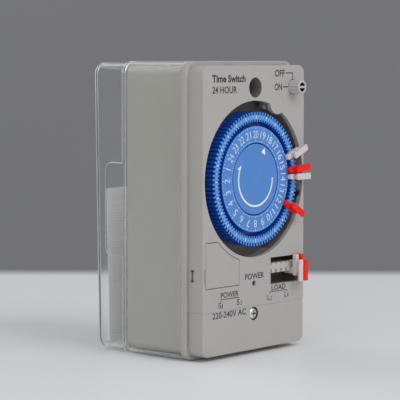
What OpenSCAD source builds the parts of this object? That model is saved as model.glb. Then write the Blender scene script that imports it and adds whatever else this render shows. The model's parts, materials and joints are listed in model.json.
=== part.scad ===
// 24-hour dial time switch with pull-out setters and a clear dust cover.
// +Z is up and the face looks along -Y. Depths (names ending in _d) are
// measured back from the face of the case.

/* [Case] */
// Width over the flange
flange_w = 78.4; // [77:0.1:80]
// Height over the flange
flange_h = 136; // [136:0.5:138]
// Corner radius of the flange
flange_r = 5.5; // [3:0.5:7]
// Width of the front case
front_w = 74.6; // [74:0.1:75]
// Height of the front case
front_h = 132.2; // [132:0.1:133]
// Corner radius of the front and rear cases
case_r = 4; // [3:0.5:5]
// Depth from the face to the front of the flange
flange_d = 8.8; // [8.5:0.1:9.5]
// Thickness of the flange
flange_t = 3; // [2.5:0.1:3.2]
// Depth from the face to the back of the rear case
rear_d = 46.6; // [45:0.1:47]
// Thickness of the case walls
wall = 2; // [1.8:0.1:2.2]

/* [Clear cover] */
// Depth from the face to the step of the clear cover
step_d = 48.4; // [48.2:0.1:49]
// Depth from the face to the back of the clear cover, at its top
cover_d = 67.2; // [66:0.1:68]
// How much less deep the clear cover is at its bottom
cover_slope = 2.6; // [2:0.1:3]
// Thickness of the clear cover
cover_t = 1.5; // [1.2:0.1:1.6]

/* [Dial] */
// Height of the dial's centre above the bottom of the flange
dial_z = 81.5; // [81:0.1:82]
// Radius of the dial opening
opening_r = 36.3; // [36:0.1:36.5]
// Outer radius of the toothed ring
drum_r = 31.15; // [30.8:0.05:31.5]
// Inner radius of the toothed ring
ring_r = 26.6; // [26.4:0.1:26.8]
// Number of setter places round the ring
slots = 96; // [96]
// Width of a flute in the ring's outer side, and of the rail's lower notches
slot_w = 0.95; // [0.9:0.05:1]
// Radius of the flutes' floors
flute_r = 29.8; // [29.6:0.05:30]
// Radius that the notches in the ring's inner edge reach
notch_r = 27.5; // [27.4:0.1:27.7]
// Width of a notch, and of the rail's upper notches
notch_w = 0.85; // [0.8:0.05:0.9]
// Outer radius of the number ring
number_r = 24.6; // [24.2:0.1:24.8]
// Radius of the fixed centre disc
disc_r = 16.4; // [16:0.1:16.5]

/* [Switch knob] */
// Distance of the knob's axis right of the middle
knob_x = 28.2; // [28:0.1:28.4]
// Height of the knob's axis and of the upper mounting hole
knob_z = 123.8; // [123.5:0.1:124]
// Radius of the knob
knob_r = 3.3; // [3.1:0.1:3.4]
// How far the knob stands out of the face
knob_out = 5.8; // [5.6:0.1:6.4]

/* [Mounting] */
// Radius of the two fixing screw holes
mount_r = 2.25; // [2:0.05:2.5]
// Height of the lower fixing hole
mount_low_z = 8; // [7.8:0.1:8.2]
// Radius of the tube that a fixing screw passes through
tube_bore_r = 4.65; // [4.4:0.05:4.8]

/* [Terminals] */
// Height of the terminal cover's top edge
terminal_top = 22.2; // [22:0.1:22.4]
// Distances of the four terminals right of the middle
terminal_x = [-24.7, -11.8, 10.5, 23.9];

/* [Hidden] */
$fn = 96;
eps = 0.01;
gap = 0.06;                      // clearance behind the terminal cover
seam = 0.08;                     // gap along the terminal cover's top edge
face_y = knob_out - (knob_out + cover_d) / 2;
mid_z = flange_h / 2;
front_x = front_w / 2;
front_z0 = mid_z - front_h / 2;
rear_w = front_w - 0.4;
rear_h = front_h - 0.4;
shelf_d = step_d - cover_t;
bowl_inset = 0.8;                // the cover's bowl is this much inside its skirt
back_angle = atan(cover_slope / flange_h);
face_t = 2.2;                    // thickness of the face
run = 0.05;                      // running clearance of shafts and pins

// storage window and its rail
store_x = [12, 35.2];
store_z = [31.2, 43.9];
store_d = 8.8;
rail_z = [36.4, 41.1];
rail_pitch = 3.87;
rail_first_x = 13.75;
rail_positions = 6;

// compartment with its lid, whose corner is cut by an arc round the dial
bay_x = [-35.5, -11.4];
bay_z = [33, 54.2];
bay_arc_r = 38.2;
bay_d = 9;

// movement: plates, gear centres and wheels
plate_front_d = 11;
plate_rear_d = 22;
plate_t = 1.2;
module_mm = 0.5;                 // gear tooth module
dial_teeth = 96;
wheel_teeth = 48;
pinion_teeth = 12;
first_centre = module_mm * (dial_teeth + pinion_teeth) / 2;
second_centre = module_mm * (wheel_teeth + pinion_teeth) / 2;
idler_angle = 225;
idler_x = first_centre * cos(idler_angle);
idler_z = dial_z + first_centre * sin(idler_angle);
motor_x = idler_x + second_centre;
motor_z = idler_z;
pillar_at = [[-28.5, 49.8], [28.5, 49.8], [-28.5, 122.5], [12.5, 123.8]];
lever_x = 14.5;                  // trip lever's pivot
lever_z = 121;
tongue_at = [39.2, 64.5];        // polar place of the face's tongue over the lever
tongue_r = 5.8;
case_screw_at = [for (sx = [-1, 1], z = [27.6, 130.1]) [sx * 33.2, z]];
case_boss_r = 2.2;
case_screw_r = 1.25;
cover_screw_x = -0.5;
cover_screw_z = 18.8;
lamp_x = -0.5;
lamp_z = 33;

// setters: angles of those in the dial and rail places of the spare ones
white_angles = [22.5, 0];
red_angles = [7.5, -30];
spare_white_place = 4;
spare_red_place = 5;

CASE = [0.66, 0.65, 0.62];
DIAL = [0.25, 0.50, 0.82];
DEEP = [0.08, 0.24, 0.62];
RED = [0.90, 0.20, 0.10];
WHITE = [0.86, 0.80, 0.80];
STEEL = [0.70, 0.71, 0.73];
BRASS = [0.78, 0.62, 0.30];
BLACK = [0.12, 0.12, 0.13];

// Extrudes a shape drawn in the X-Z plane from depth a back to depth b.
module slab(a, b) {
    translate([0, face_y + b, 0]) rotate([90, 0, 0]) linear_extrude(b - a) children();
}

// A box between two corners, given as ranges of X, depth and Z.
module block(x, d, z) {
    translate([x[0], face_y + d[0], z[0]]) cube([x[1] - x[0], d[1] - d[0], z[1] - z[0]]);
}

// A round bar along the depth at (x, z).
module bar(x, z, r, a, b) {
    slab(a, b) translate([x, z]) circle(r);
}

// A rectangle with round corners, centred on the case's middle.
module round_rect(w, h, r) {
    translate([0, mid_z]) {
        square([w, h - 2 * r], center = true);
        square([w - 2 * r, h], center = true);
        for (sx = [-1, 1], sz = [-1, 1])
            translate([sx * (w / 2 - r), sz * (h / 2 - r)]) circle(r);
    }
}

// Moves children, drawn round the origin, to the dial's centre.
module at_dial() translate([0, dial_z]) children();

module ring(outer, inner) {
    difference() {
        circle(outer);
        circle(inner);
    }
}

// The outline of the compartment's opening, drawn in or out by an offset.
module bay_outline(inset) {
    difference() {
        translate([bay_x[0] + inset, bay_z[0] + inset])
            square([bay_x[1] - bay_x[0] - 2 * inset, bay_z[1] - bay_z[0] - 2 * inset]);
        at_dial() circle(bay_arc_r + inset);
    }
}

// ---- case ----

module front_shell() {
    difference() {
        slab(0, flange_d) round_rect(front_w, front_h, case_r);
        slab(face_t, flange_d + 1) round_rect(front_w - 2 * wall, front_h - 2 * wall, case_r - wall);
    }
    bar(0, knob_z, tube_bore_r + 1.35, 0, rear_d - 8.1);
    difference() {
        block([-36, bay_x[1] + 0.8], [0, bay_d + 1.2], [bay_z[0] - 1.2, bay_z[1] + 1.2]);
        slab(-1, bay_d + 2) at_dial() circle(bay_arc_r - 0.4);
    }
    block([-front_x + 1, front_x - 1], [0, flange_d], [terminal_top + seam, terminal_top + 1.8]);
    for (p = case_screw_at) bar(p[0], p[1], case_boss_r, 1, 11.6);
    // rib that the dust cover snaps over when it is on the front
    block([-14.7, -2.2], [1.8, 6.6], [front_z0 + front_h - 1, front_z0 + front_h + 0.4]);
}

module front_case() {
    color(CASE) difference() {
        front_shell();
        block([-40, 40], [-1, flange_d + 1], [-1, terminal_top + seam]);
        slab(-1, face_t + eps) at_dial() difference() {
            circle(opening_r);
            rotate(tongue_at[1]) translate([tongue_at[0], 0]) circle(tongue_r);
        }
        slab(face_t, flange_d + 1) at_dial() circle(opening_r);
        bar(0, knob_z, tube_bore_r, -1, rear_d);
        bar(knob_x, knob_z, knob_r + 0.3, -1, face_t + 1);
        bar(lamp_x, lamp_z, 1.3, -1, face_t + 1);
        block(store_x, [-1, face_t + 1], store_z);
        slab(-1, 2) bay_outline(0);
        slab(-1, bay_d) bay_outline(1);
        block([bay_x[0] - 1.1, bay_x[0] - 0.75], [-1, 0.8], [36, 42.2]);
        block([-front_x - 1, bay_x[0] + 2], [5.9, 7.1], [36.6, 41.4]);
        for (z = [36.2, 40.8])
            block([-front_x - 1, bay_x[0] + 2], [5.5, 7.5], [z, z + 1]);
        for (p = case_screw_at) bar(p[0], p[1], case_screw_r + 0.02, 4, 12);
        slab(flange_d, 12) difference() {   // keeps the bosses inside the rear case
            round_rect(flange_w, flange_h, flange_r);
            round_rect(rear_w - 2 * wall - 0.2, rear_h - 2 * wall - 0.2, case_r - wall);
        }
    }
}

module rear_shell() {
    inner_w = rear_w - 2 * wall;
    inner_h = rear_h - 2 * wall;
    difference() {
        union() {
            slab(flange_d, flange_d + flange_t) round_rect(flange_w, flange_h, flange_r);
            slab(flange_d, rear_d) round_rect(rear_w, rear_h, case_r);
        }
        slab(flange_d - 1, rear_d - wall) round_rect(inner_w, inner_h, case_r - wall);
    }
    for (z = [knob_z, mount_low_z]) bar(0, z, 6, rear_d - 7.8, rear_d - 1);
    for (p = case_screw_at) bar(p[0], p[1], case_boss_r, 11.8, rear_d - 1);
}

module rear_case() {
    color(CASE) difference() {
        rear_shell();
        for (z = [knob_z, mount_low_z]) bar(0, z, mount_r, rear_d - 9, rear_d + 1);
        for (p = case_screw_at) {
            bar(p[0], p[1], case_screw_r + 0.1, 8, rear_d + 1);
            bar(p[0], p[1], 2.1, rear_d - 1.9, rear_d + 1);
        }
        block([-16, 16], [13, 35], [-1, front_z0 + wall + 1]);
    }
}

module case_screws() {
    color(STEEL) for (p = case_screw_at) {
        bar(p[0], p[1], 1.9, rear_d - 1.9, rear_d - 0.6);
        bar(p[0], p[1], case_screw_r, 4.4, rear_d - 1.9);
    }
}

// Everything behind the clear cover's sloping back, moved by shift along the depth.
module behind_back(shift) {
    translate([-60, face_y + cover_d + shift, flange_h]) rotate([-back_angle, 0, 0])
        translate([0, 0, -180]) cube([120, 30, 220]);
}

module cover_hollow() {
    difference() {
        slab(flange_d, cover_d) round_rect(flange_w - 2 * bowl_inset - 2 * cover_t,
            flange_h - 2 * bowl_inset - 2 * cover_t, 4);
        behind_back(-cover_t);
    }
}

module clear_cover() {
    color([0.85, 0.88, 0.90, 0.35]) {
        difference() {
            slab(flange_d + flange_t + 0.1, step_d) round_rect(flange_w, flange_h, flange_r);
            slab(flange_d, shelf_d) round_rect(flange_w - 2 * cover_t, flange_h - 2 * cover_t, 4);
            cover_hollow();
        }
        difference() {
            slab(step_d - eps, cover_d)
                round_rect(flange_w - 2 * bowl_inset, flange_h - 2 * bowl_inset, flange_r);
            behind_back(0);
            cover_hollow();
        }
        for (s = [-1, 1])   // finger pads on the two sides
            translate([s * (flange_w / 2 - bowl_inset - eps), face_y, mid_z - 1])
                rotate([0, s * 90, 0]) linear_extrude(bowl_inset + eps) finger_pad();
    }
}

// Outline of a finger pad: Z runs along its X, depth along its Y.
module finger_pad() {
    translate([-22, step_d - eps]) square([44, 6.4]);
    translate([-18, step_d]) square([36, 10.4]);
    for (s = [-1, 1]) translate([s * 18, step_d + 6.4]) circle(4);
}

module leaflet() {
    color([0.93, 0.93, 0.90]) translate([-31.4, face_y + cover_d - cover_slope - 2.3, 2.4])
        rotate([-back_angle, 0, 0]) cube([64.4, 0.7, 73.6]);
}

module terminal_cover() {
    color(CASE) difference() {
        union() {
            difference() {
                slab(0, flange_d - gap) round_rect(front_w, front_h, case_r);
                slab(face_t, flange_d + 1)
                    round_rect(front_w - 2 * wall, front_h - 2 * wall, case_r - wall);
                block([-40, 40], [-1, flange_d + 1], [terminal_top, flange_h]);
            }
            bar(cover_screw_x, cover_screw_z, 3, 1, 12);
            bar(cover_screw_x, cover_screw_z - 0.6, 4, 0, 4);
        }
        block([-40, 40], [-1, 13], [terminal_top, flange_h]);
        bar(cover_screw_x, cover_screw_z, 3.1, -1, 2.6);
        bar(cover_screw_x, cover_screw_z, 1.6, 0, 13);
    }
}

module terminal_cover_screw() {
    color(STEEL) difference() {
        union() {
            bar(cover_screw_x, cover_screw_z, 2.7, 0.1, 2.5);
            bar(cover_screw_x, cover_screw_z, 1.5, 2.5, 22);
        }
        for (a = [0, 90])
            slab(0, 1.7) translate([cover_screw_x, cover_screw_z]) rotate(a)
                square([3.2, 0.7], center = true);
    }
}

module compartment_lid() {
    color(CASE) {
        slab(0, 1.9) bay_outline(0.3);
        for (z = [36, 47]) block([bay_x[0] + 1.3, bay_x[0] + 2.3], [1.9 - eps, 5], [z, z + 4]);
        block([bay_x[1] - 2.3, bay_x[1] - 1.3], [1.9 - eps, 5], [36, 40]);
    }
}

// Dark tray behind the storage window.
module setter_tray() {
    color(BLACK) difference() {
        block([store_x[0] - 1.2, 34.9], [face_t, store_d + 1.2], [store_z[0] - 1.2, store_z[1] + 1.2]);
        block([store_x[0], 34.1], [0, store_d], store_z);
    }
}

module setter_rail() {
    color(CASE) difference() {
        block([store_x[0], 34.1], [1.2, store_d], rail_z);
        for (i = [0 : rail_positions - 1]) {
            x = rail_first_x + i * rail_pitch;
            block([x - slot_w / 2, x + slot_w / 2], [0, 6.8], [30, 38.1]);
            block([x - notch_w / 2, x + notch_w / 2], [0, 3.6], [40.4, 45]);
        }
    }
}

// ---- dial ----

module movement_cover() {
    color(BLACK) difference() {
        slab(face_t + 0.1, plate_front_d) intersection() {
            at_dial() circle(opening_r + 1.1);
            translate([-35, 0]) square([70, flange_h]);
        }
        slab(0, 8.6) at_dial() circle(opening_r + 0.3);
        slab(0, 12) at_dial() circle(6.1);
        slab(0, 7.4) at_dial() rotate(tongue_at[1]) translate([37, 0])
            square([6, 13], center = true);
        bar(0, knob_z, tube_bore_r + 1.45, 0, 12);
    }
}

module dial_post() {
    color(STEEL) {
        slab(1, plate_rear_d + plate_t) at_dial() circle(2);
        slab(15.5, 16.5) at_dial() circle(4.5);
    }
}

module centre_disc() {
    color(DIAL) difference() {
        union() {
            slab(-0.2, 1.4) at_dial() circle(disc_r);
            slab(1.4 - eps, 3.7) at_dial() circle(3.4);
        }
        slab(1, 4) at_dial() circle(2.01);
    }
}

module dial_drum() {
    color(DEEP) difference() {
        union() {
            slab(-0.4, 7.6) at_dial() ring(drum_r, ring_r);
            slab(4, 5.6) at_dial() circle(ring_r + eps);
            slab(5.5, 13.2) at_dial() circle(5.6);
            slab(13, 15.3) at_dial() circle(4);
        }
        slab(2, 16) at_dial() circle(2 + run);
        slab(-1, 5.4) at_dial() for (i = [0 : slots - 1])
            rotate(i * 360 / slots) translate([flute_r, -slot_w / 2]) square([3, slot_w]);
        slab(-1, 2.2) at_dial() for (i = [0 : slots - 1])
            rotate(i * 360 / slots) translate([ring_r - 1, -notch_w / 2])
                square([notch_r - ring_r + 1, notch_w]);
    }
}

module number_ring() {
    color(DIAL) slab(-0.2, 4) at_dial() ring(number_r, disc_r + 0.5);
}

// A setter, standing on the ring at angle 0 about the origin, one leg in a flute and one in a notch.
module setter() {
    module piece(r, half_w, a, b) {
        slab(a, b) translate([r[0], -half_w]) square([r[1] - r[0], 2 * half_w]);
    }
    piece([30, 33], 0.36, -0.6, 5);
    piece([26.5, 27.3], 0.36, -0.6, 2);
    piece([23.7, 33.8], 1.25, -2.6, -0.55);
    piece([27.4, 32.6], 0.9, -4.05, -2.55);
    piece([26.1, 36.4], 1.5, -5, -4);
}

module dial_setter(angle) {
    translate([0, 0, dial_z]) rotate([0, -angle, 0]) setter();
}

// A spare setter hangs in the rail with its tip down.
module spare_setter(place) {
    translate([rail_first_x + place * rail_pitch, 0, store_z[0] + 36.8]) rotate([0, 90, 0]) setter();
}

module setter_white_a() color(WHITE) dial_setter(white_angles[0]);
module setter_white_b() color(WHITE) dial_setter(white_angles[1]);
module setter_red_a() color(RED) dial_setter(red_angles[0]);
module setter_red_b() color(RED) dial_setter(red_angles[1]);
module spare_setter_white() color(WHITE) spare_setter(spare_white_place);
module spare_setter_red() color(RED) spare_setter(spare_red_place);

// ---- movement ----

// A spur gear round the origin, with a tooth centred on the angle phase.
module gear(teeth, phase) {
    pitch_r = module_mm * teeth / 2;
    circle(pitch_r - 0.55);
    for (i = [0 : teeth - 1]) rotate(phase + i * 360 / teeth)
        polygon([[pitch_r - 0.75, -0.42], [pitch_r + 0.4, -0.16],
            [pitch_r + 0.4, 0.16], [pitch_r - 0.75, 0.42]]);
}

module plate(d, hub_r) {
    slab(d, d + plate_t) difference() {
        translate([-32, 47]) square([64.5, 80]);
        at_dial() circle(hub_r);
        translate([0, knob_z]) circle(tube_bore_r + 1.75);
        translate([idler_x, idler_z]) circle(1.01);
        translate([knob_x, knob_z]) circle(1.5 + run);
        for (p = case_screw_at) translate(p) circle(case_boss_r + 0.6);
        for (p = pillar_at) translate(p) circle(1.3);
        if (d == plate_rear_d) translate([motor_x, motor_z]) circle(2.2);
        if (d == plate_front_d) translate([lever_x, lever_z]) circle(1.01);
    }
}

module front_plate() color(BRASS) plate(plate_front_d, 6.1);
module rear_plate() color(BRASS) plate(plate_rear_d, 2.01);

module plate_pillars() {
    color(STEEL) for (p = pillar_at) difference() {
        bar(p[0], p[1], 2.5, plate_front_d + plate_t, plate_rear_d);
        bar(p[0], p[1], 1.3, 0, plate_rear_d + 1);
    }
}

module plate_screws() {
    color(STEEL) for (p = pillar_at) {
        bar(p[0], p[1], 1.25, plate_front_d + 0.4, plate_rear_d + plate_t);
        bar(p[0], p[1], 2.2, plate_rear_d + plate_t, plate_rear_d + plate_t + 1.6);
    }
}

module dial_gear() {
    color(BRASS) slab(13.2, 15.2) at_dial() difference() {
        gear(dial_teeth, 0);
        circle(4.01);
        for (a = [45 : 90 : 315]) rotate(a) translate([13.5, 0]) circle(5.5);
    }
}

module idler_wheel() {
    color(BRASS) difference() {
        union() {
            slab(16.2, 17.8) translate([idler_x, idler_z]) gear(wheel_teeth, 0);
            slab(13.1, 16.3) translate([idler_x, idler_z]) gear(pinion_teeth, 0);
            bar(idler_x, idler_z, 3, 17.7, 20);
        }
        bar(idler_x, idler_z, 1 + run, 12, 21);
    }
}

module idler_arbor() {
    color(STEEL) bar(idler_x, idler_z, 1, plate_front_d, plate_rear_d + plate_t);
}

module motor_can() {
    can_d = plate_rear_d + plate_t;
    color(STEEL) difference() {
        union() {
            bar(motor_x, motor_z, 19.5, can_d, can_d + 12);
            bar(motor_x, motor_z, 21.5, can_d, can_d + 1);
        }
        bar(motor_x, motor_z, 18.5, can_d - 1, can_d + 11);
        bar(motor_x, motor_z, 0.76, can_d, can_d + 13);
    }
}

module motor_coil() {
    color([0.72, 0.36, 0.18]) slab(24.2, 33.4) translate([motor_x, motor_z]) ring(17.6, 8.6);
}

module stator_poles() {
    color(STEEL) slab(24.2, 34.2) translate([motor_x, motor_z]) difference() {
        ring(8.2, 6.2);
        for (i = [0 : 7]) rotate(i * 45) translate([5, -0.5]) square([5, 1]);
    }
}

module motor_rotor() {
    color(BLACK) difference() {
        union() {
            bar(motor_x, motor_z, 5.4, 25.5, 32.5);
            bar(motor_x, motor_z, 1.7, 18.5, 25.6);
        }
        bar(motor_x, motor_z, 0.75 + run, 15, 35);
    }
}

module rotor_pinion() {
    color(BRASS) slab(15.9, 18.5) translate([motor_x, motor_z]) difference() {
        gear(pinion_teeth, 15);
        circle(0.75 + run);
    }
}

module rotor_arbor() {
    color(STEEL) bar(motor_x, motor_z, 0.75, 15.7, plate_rear_d + plate_t + 12);
}

// ---- switch ----

module knob() {
    color(CASE) difference() {
        bar(knob_x, knob_z, knob_r, -knob_out, 2.8);
        slab(-knob_out - 1, 0) translate([knob_x, knob_z]) for (i = [0 : 13])
            rotate(i * 360 / 14) translate([knob_r + 0.05, 0]) circle(0.4, $fn = 16);
        slab(-knob_out - 1, -knob_out + 3.4) translate([knob_x, knob_z]) difference() {
            circle(2.15);
            square([6, 1.1], center = true);
        }
        bar(knob_x, knob_z, 1.51, -1, 4);
    }
}

module knob_shaft() {
    color(STEEL) bar(knob_x, knob_z, 1.5, -0.9, plate_rear_d + plate_t + 0.6);
}

module star_wheel() {
    color([0.85, 0.85, 0.82]) slab(3.2, 6.4) translate([knob_x, knob_z]) difference() {
        union() {
            circle(3);
            for (a = [45 : 90 : 315]) rotate(a)
                polygon([[2.5, -1.3], [5.4, -0.5], [5.4, 0.5], [2.5, 1.3]]);
        }
        circle(1.51);
    }
}

module contact_cam() {
    color([0.85, 0.85, 0.82]) slab(16.8, 20) translate([knob_x, knob_z]) difference() {
        union() {
            circle(3.6);
            for (a = [0, 90]) rotate(a) square([9, 4], center = true);
        }
        circle(1.51);
    }
}

module trip_lever() {
    color([0.85, 0.85, 0.82]) slab(3.4, 6.2) difference() {
        union() {
            translate([lever_x, lever_z]) circle(2.4);
            polygon([[lever_x - 1.6, lever_z], [9.8, 114.5], [10.6, 113.8], [15.9, 112.75],
                [lever_x + 1.6, lever_z]]);
            polygon([[lever_x, lever_z - 1.4], [22.4, 122.5], [22.4, 123.4],
                [lever_x, lever_z + 1.6]]);
        }
        translate([lever_x, lever_z]) circle(1 + run);
    }
}

module lever_pin() {
    color(STEEL) {
        bar(lever_x, lever_z, 1, 2.8, plate_front_d + plate_t);
        bar(lever_x, lever_z, 1.9, 2.6, 3.2);
    }
}

// Torsion spring round the lever's pin: close turns and two legs.
module lever_spring() {
    wire_r = 0.2;
    turn_r = 1.5;
    pitch = 1.7 * wire_r;
    turns = 5;
    coil_h = (turns - 1) * pitch;
    module leg(x, d, z, h) translate([x, d, z]) cylinder(r = 0.85 * wire_r, h = h, $fn = 16);
    color(STEEL) translate([lever_x, face_y + 6.8, lever_z]) {
        rotate([-90, 0, 0]) rotate_extrude() {
            for (i = [0 : turns - 1]) translate([turn_r, i * pitch]) circle(wire_r, $fn = 16);
            translate([turn_r - wire_r / 2, 0]) square([wire_r, coil_h]);
        }
        leg(turn_r - 0.03, coil_h - 0.05, -0.3, 5.3);
        leg(0.03 - turn_r, 0.05, -4, 4.3);
    }
}

module contact_base() {
    color(BLACK) difference() {
        block([14, 27], [16.6, plate_rear_d], [99, 106]);
        block([21.7, 23.5], [16, 20.4], [102, 107]);
        block([18.85, 19.35], [16, 20.4], [102, 107]);
    }
}

module fixed_contact() {
    color(BRASS) {
        block([18.9, 19.3], [17.2, 20], [102.2, 127]);
        translate([19.3 - eps, face_y + 18.6, 125.2]) rotate([0, 90, 0]) cylinder(r = 1.2, h = 1.2);
    }
}

module moving_contact() {
    color(BRASS) {
        block([22.4, 22.8], [17.2, 20], [104, 127]);
        bar(22.6, 104, 0.7, 17.2, 20);
        translate([21.5, face_y + 18.6, 125.2]) rotate([0, 90, 0]) cylinder(r = 1.2, h = 0.9 + eps);
    }
}

// ---- terminals, lamp and wiring ----

module terminal_block() {
    color(BLACK) difference() {
        block([-31, 31], [12.4, 26], [13, 24]);
        for (x = terminal_x) {
            block([x - 4.6, x + 4.6], [12, 20], [12, 22.6]);
            bar(x, 17.8, 1.95, 19, 25);
        }
        bar(cover_screw_x, cover_screw_z, 1.5 + run, 12, 24);
    }
}

module terminal_plates() {
    color(BRASS) for (x = terminal_x) difference() {
        block([x - 4.4, x + 4.4], [18.8, 20], [13.2, 22.4]);
        bar(x, 17.8, 1.92, 18, 21);
    }
}

module clamp_washers() {
    color(STEEL) for (x = terminal_x) difference() {
        block([x - 4, x + 4], [16.6, 17.6], [13.8, 21.8]);
        bar(x, 17.8, 1.95, 16, 18);
    }
}

module terminal_screws() {
    color(STEEL) for (x = terminal_x) difference() {
        union() {
            bar(x, 17.8, 3.6, 14.2, 16.6);
            bar(x, 17.8, 1.9, 16.5, 24.4);
        }
        for (a = [0, 90]) slab(14, 15.6) translate([x, 17.8]) rotate(a)
            square([4, 0.9], center = true);
    }
}

module lamp_board() {
    color([0.25, 0.45, 0.25]) block([-10, 9], [11.4, 12.6], [25.6, 42]);
}

module lamp() {
    color([0.85, 0.25, 0.20]) {
        bar(lamp_x, lamp_z, 1.5, 8.6, 11.4);
        translate([lamp_x, face_y + 8.6, lamp_z]) sphere(1.5, $fn = 32);
    }
}

module lamp_lens() {
    color([0.30, 0.10, 0.10]) {
        bar(lamp_x, lamp_z, 1.25, 0.9, 6.6);
        bar(lamp_x, lamp_z, 2.2, face_t + 0.05, 3.2);
    }
}

module resistor() {
    color([0.75, 0.65, 0.50]) {
        translate([3, face_y + 9.9, 39]) rotate([0, -90, 0]) cylinder(r = 1.3, h = 9);
        for (x = [-7.6, 3.6]) block([x - 0.3, x + 0.3], [9.6, 11.4], [38.7, 39.3]);
        for (x = [-7.6, 2.9]) block([x, x + 1.7], [9.6, 10.2], [38.7, 39.3]);
    }
}

module capacitor() {
    color([0.85, 0.70, 0.20]) block([2.5, 8.5], [6.4, 11.4], [26.5, 35.5]);
}

function unit(v) = v / norm(v);

// The direction of the run that ends at point i of a route, or starts at point 0.
function run_in(p, i) = unit(i > 0 ? p[i] - p[i - 1] : p[1] - p[0]);

// The direction of the route at point i, halved between its two runs.
function heading(p, i) = unit(run_in(p, i) + run_in(p, min(i + 1, len(p) - 1)));

// A direction across the route at point i, carried along without twist.
function across(p, i) =
    let (t = heading(p, i), a = i > 0 ? across(p, i - 1) : cross(t, [0.31, 0.86, 0.41]))
    unit(a - (a * t) * t);

// One ring of a tube, in the mitre plane at point i.
function tube_ring(p, i, r, sides) =
    let (t = heading(p, i), n = across(p, i), m = cross(t, n),
        u = run_in(p, i), w = u - (u * t) * t, bend = norm(w))
    [for (k = [0 : sides - 1])
        let (q = cos(k * 360 / sides) * n + sin(k * 360 / sides) * m)
        p[i] + r * (bend > eps ? q + (q * w) / (bend * bend) * (1 / (u * t) - 1) * w : q)];

// An insulated lead of radius r along points given as [x, depth, z].
module lead(points, r) {
    sides = 10;
    last = len(points) - 1;
    translate([0, face_y, 0]) polyhedron(
        points = [for (i = [0 : last]) each tube_ring(points, i, r, sides)],
        faces = concat(
            [[for (k = [0 : sides - 1]) k]],
            [[for (k = [sides - 1 : -1 : 0]) last * sides + k]],
            [for (i = [0 : last - 1], k = [0 : sides - 1])
                let (a = i * sides, b = a + sides, n = (k + 1) % sides)
                each [[a + k, b + k, b + n], [a + k, b + n, a + n]]]));
}

module lead_wires() {
    color([0.80, 0.80, 0.82]) {
        lead([[-24.7, 24, 24], [-24.7, 24, 30], [-24.7, 29, 34], [-14, 29, 40], [-14, 29, 45.6]], 0.8);
        lead([[-11.8, 24, 24], [-11.8, 29, 32], [-9, 29, 38], [-9, 29, 43.6]], 0.8);
        lead([[23.9, 19, 24], [23.9, 19, 40], [33.9, 19, 45], [33.9, 19, 103.5], [27, 19, 103.5]], 0.8);
        lead([[10.5, 21, 24], [10.5, 21, 36], [33.9, 21, 43], [33.9, 21, 101], [27, 21, 101]], 0.8);
        lead([[-7, 16, 24], [-7, 16, 28], [-7, 12.6, 28]], 0.6);
        lead([[6, 16, 24], [6, 16, 28], [6, 12.6, 28]], 0.6);
    }
}

front_case();
rear_case();
clear_cover();
leaflet();
terminal_cover();
terminal_cover_screw();
compartment_lid();
setter_tray();
setter_rail();
movement_cover();
front_plate();
rear_plate();
plate_pillars();
plate_screws();
dial_post();
centre_disc();
dial_drum();
number_ring();
dial_gear();
idler_wheel();
idler_arbor();
motor_can();
motor_coil();
stator_poles();
motor_rotor();
rotor_pinion();
rotor_arbor();
knob();
knob_shaft();
star_wheel();
contact_cam();
trip_lever();
lever_pin();
lever_spring();
contact_base();
fixed_contact();
moving_contact();
terminal_block();
terminal_plates();
clamp_washers();
terminal_screws();
lamp_board();
lamp();
lamp_lens();
resistor();
capacitor();
lead_wires();
case_screws();
setter_white_a();
setter_red_a();
setter_white_b();
setter_red_b();
spare_setter_white();
spare_setter_red();
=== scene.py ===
import json
import math

import bmesh
import bpy
from mathutils import Matrix, Vector

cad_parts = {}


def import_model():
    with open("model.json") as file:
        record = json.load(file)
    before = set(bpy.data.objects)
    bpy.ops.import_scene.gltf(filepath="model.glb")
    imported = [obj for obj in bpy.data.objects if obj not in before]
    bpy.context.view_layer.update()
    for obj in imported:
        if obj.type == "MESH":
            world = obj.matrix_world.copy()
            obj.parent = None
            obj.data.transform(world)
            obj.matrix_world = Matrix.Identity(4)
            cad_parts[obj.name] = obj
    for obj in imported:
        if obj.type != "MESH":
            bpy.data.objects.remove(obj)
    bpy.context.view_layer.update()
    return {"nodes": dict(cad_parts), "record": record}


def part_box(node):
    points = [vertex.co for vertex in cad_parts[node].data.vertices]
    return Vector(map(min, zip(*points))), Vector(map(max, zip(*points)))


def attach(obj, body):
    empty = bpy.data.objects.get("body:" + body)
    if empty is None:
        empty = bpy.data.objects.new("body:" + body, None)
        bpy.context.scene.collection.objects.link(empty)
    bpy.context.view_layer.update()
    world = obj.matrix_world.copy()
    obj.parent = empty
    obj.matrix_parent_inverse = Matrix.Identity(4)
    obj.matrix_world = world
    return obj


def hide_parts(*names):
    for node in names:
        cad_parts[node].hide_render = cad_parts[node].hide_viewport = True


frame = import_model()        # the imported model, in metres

NODES = frame["nodes"]
MM = 0.001

# ---------------------------------------------------------------- places
# Everything is placed from the frame. Depths are measured back from the face.

case_lo, case_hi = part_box("front_case")
flange_lo, flange_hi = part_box("rear_case")
cover_lo, cover_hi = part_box("clear_cover")
drum_lo, drum_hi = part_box("dial_drum")
knob_lo, knob_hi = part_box("knob")
disc_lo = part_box("centre_disc")[0]
number_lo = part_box("number_ring")[0]
screw_lo, screw_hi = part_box("terminal_cover_screw")
lid_lo, lid_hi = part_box("terminal_cover")
leaflet_lo, leaflet_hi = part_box("leaflet")

FACE_Y = case_lo.y


def middle(lo, hi):
    """The x and z of the middle of a box, in millimetres."""
    return (lo.x + hi.x) / 2 / MM, (lo.z + hi.z) / 2 / MM


MID_Z = middle(flange_lo, flange_hi)[1]
DIAL_X, DIAL_Z = middle(drum_lo, drum_hi)
KNOB_X, KNOB_Z = middle(knob_lo, knob_hi)
SCREW_X, SCREW_Z = middle(screw_lo, screw_hi)

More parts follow.
